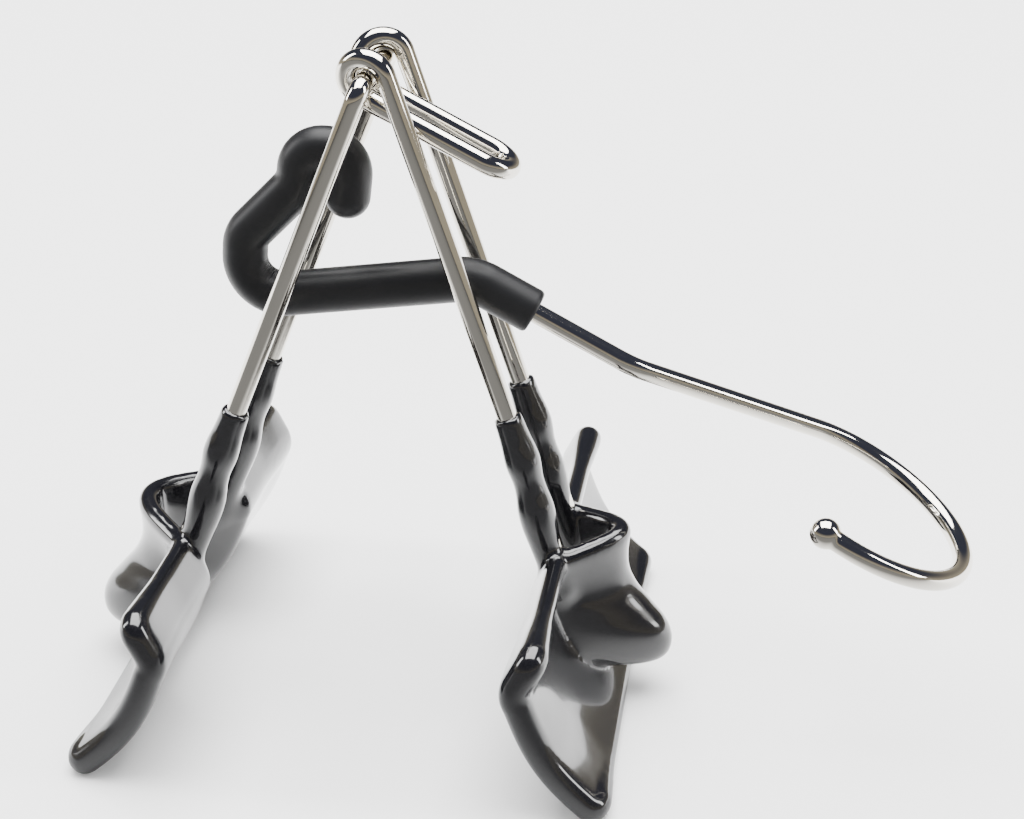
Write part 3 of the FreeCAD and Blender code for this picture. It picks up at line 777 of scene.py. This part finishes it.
# %% Left and right jaw skins
CELL = 0.5 * MM
BLOCK_MARGIN = (5.0, 4.6, 4.6)
HALF_COATED = 2.1
SHEET_THICKNESS = 1.2
WIDEST_SOCKET, SOCKET_BEND, SOCKET_FILLET = 3.9, 1.6, 2.4
for side, word, leg_y in ((-1, "left", LEFT_LEG_Y), (1, "right", RIGHT_LEG_Y)):
    sheet = middle_sheet(word + "_sheet_middle", side, leg_y)
    foot, way = leg_foot(side, leg_y), leg_up(side)
    places = np.array([vertex.co for vertex in sheet.vertices] + [foot + way * SOCKET_LENGTH * MM])
    margin = np.array(BLOCK_MARGIN) * MM
    low, high = places.min(0) - margin, places.max(0) + margin
    cells_x, cells_y, cells_z = np.ceil((high - low) / CELL).astype(int).tolist()
    jaw = grow(word + "_jaw", skin_tree, {
        "Half thickness": HALF_COATED * MM, "Bead": BEAD * MM, "Bead start": BEAD_START * MM,
        "Bead end": BEAD_END * MM, "Leg foot": foot, "Leg way": way,
        "Leg bend": (-side * SOCKET_BEND * MM, 0.0, 0.0), "Socket length": SOCKET_LENGTH * MM,
        "Widest socket": WIDEST_SOCKET * MM, "Fillet": SOCKET_FILLET * MM, "Low corner": low.tolist(),
        "High corner": high.tolist(), "Cells X": cells_x, "Cells Y": cells_y, "Cells Z": cells_z,
        "Material": dipped_coating}, sheet)
    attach(jaw, word + "_jaw")
    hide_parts(word + "_jaw_coating")
    steel_values = {"Thickness": SHEET_THICKNESS * MM, "Material": pressed_sheet}
    plate = grow(word + "_plate", steel_tree, steel_values, sheet)
    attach(plate, word + "_jaw")
    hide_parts(word + "_jaw_plate")

# %% [markdown]
# ## Studio
# The hanger stands on a pale floor under a large soft light, with a tall panel at each side. Floor and
# surroundings are white, but reflections see dark in front: the floor's front half is painted nearly black
# for reflected rays only, a painted dark reflection. So the black skin stays black at its rims and has pale
# shapes on its flats, and the plate shows dark and warm streaks.

# %% Floor
FLOOR_HALF = 6.0
FLOOR_CORNERS = ((-1, -1), (1, -1), (1, 1), (-1, 1))
# Painted dark reflection on the floor: the span, measured forwards, over which it fades in
PAINTED_REFLECTION_FROM, PAINTED_REFLECTION_BY = -0.06, 0.12
floor_mesh = bpy.data.meshes.new("floor")
floor_mesh.from_pydata([(x * FLOOR_HALF, y * FLOOR_HALF, 0) for x, y in FLOOR_CORNERS], [], [(0, 1, 2, 3)])
floor = bpy.data.objects.new("floor", floor_mesh)
bpy.context.scene.collection.objects.link(floor)
floor_paint, shader, start = new_finish("floor_paint")
place = own_place(start)
pale = two_tone(noise(place, scale=3.0, detail=2.0), grey(0.92), grey(0.94))
# Painted reflection: for reflected rays only, the floor's front half turns nearly black, so shiny parts
# mirror darkness in front; other rays see it pale
mirrored = start.node("ShaderNodeLightPath", {}, {}, "Is Glossy Ray")
painted_reflection_front = ramp(-axis_of(place, "Y"), PAINTED_REFLECTION_FROM, PAINTED_REFLECTION_BY)
feed(two_tone(mirrored * painted_reflection_front, pale, grey(0.07)), shader, "Base Color")
shader.inputs["Roughness"].default_value = 0.8
shader.inputs["Specular IOR Level"].default_value = 0.1
floor_mesh.materials.append(floor_paint)
floor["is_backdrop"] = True
print("floor:", 2 * FLOOR_HALF, "m wide")

# %% Surroundings
DUSK_LOW, DUSK_HIGH = (0.42, 0.38, 0.30), (0.04, 0.045, 0.07)
DUSK_RISE = 0.4
world = bpy.data.worlds.new("studio")
bpy.context.scene.world = world
world.use_nodes = True
surroundings = world.node_tree.nodes["Background"]
start = Flow(world.node_tree)
mirrored = start.node("ShaderNodeLightPath", {}, {}, "Is Glossy Ray")
way = start.node("ShaderNodeTexCoord", {}, {}, "Generated")
dusk = two_tone(ramp(axis_of(way, "Z"), 0.0, DUSK_RISE), DUSK_LOW, DUSK_HIGH)
feed(two_tone(mirrored, grey(1.0), dusk), surroundings, "Color")
surroundings.inputs["Strength"].default_value = 1.1
print("surroundings:", world.name)


# %% Lights
def panel(name, place, target, width, height, watts):
    """A soft rectangular light that faces a target."""
    data = bpy.data.lights.new(name, "AREA")
    data.shape = "RECTANGLE"
    data.size, data.size_y = width, height
    data.energy = watts
    lamp = bpy.data.objects.new(name, data)
    lamp.location = place
    lamp.rotation_euler = (Vector(target) - Vector(place)).to_track_quat("-Z", "Y").to_euler()
    bpy.context.scene.collection.objects.link(lamp)


CENTRE = (0.0, 0.0, 0.06)
panel("top_panel", (0.0, 0.5, 2.4), (0.0, 0.5, 0.0), width=2.6, height=2.6, watts=240.0)
panel("left_panel", (-1.5, 0.0, 0.8), CENTRE, width=0.35, height=1.0, watts=14.0)
panel("right_panel", (1.5, 0.0, 0.8), CENTRE, width=0.35, height=1.0, watts=14.0)
print("lights:", [item.name for item in bpy.data.lights])

# %% [markdown]
# ## Camera
# The photo looks along the jaws from above and a little from the right, tilted by less than a degree. The
# lens, the angles and the camera's place are those at which the legs, the jaws' ends and the hook fall
# nearest to where the photo shows them.

# %% Camera
PHOTO_WIDTH = 1024
FOCAL_PIXELS = 2033.0
YAW, PITCH, ROLL = 7.877, 24.71, 0.703
CAMERA_FROM_AXLE = mm(78.47, -370.69, 103.13)
yaw_cos, yaw_sin = turned(YAW)
pitch_cos, pitch_sin = turned(PITCH)
roll_cos, roll_sin = turned(ROLL)
heading = Vector((-yaw_sin, yaw_cos, 0))
level = Vector((yaw_cos, yaw_sin, 0))
forward = heading * pitch_cos - Vector((0, 0, pitch_sin))
upright = heading * pitch_sin + Vector((0, 0, pitch_cos))
right = level * roll_cos + upright * roll_sin
up = upright * roll_cos - level * roll_sin
camera_turn = Matrix((right, up, -forward)).transposed().to_4x4()
camera_data = bpy.data.cameras.new("camera")
camera_data.sensor_width = 36.0
camera_data.lens = FOCAL_PIXELS / PHOTO_WIDTH * camera_data.sensor_width
camera = bpy.data.objects.new("camera", camera_data)
camera.matrix_world = Matrix.Translation(AXLE + CAMERA_FROM_AXLE) @ camera_turn
bpy.context.scene.collection.objects.link(camera)
bpy.context.scene.camera = camera
print("camera at", [round(x, 3) for x in camera.location], "lens", round(camera_data.lens, 2))

# %% Sizes and finish
low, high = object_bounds()
print("visual size", [round(x / MM, 1) for x in high - low], "mm")
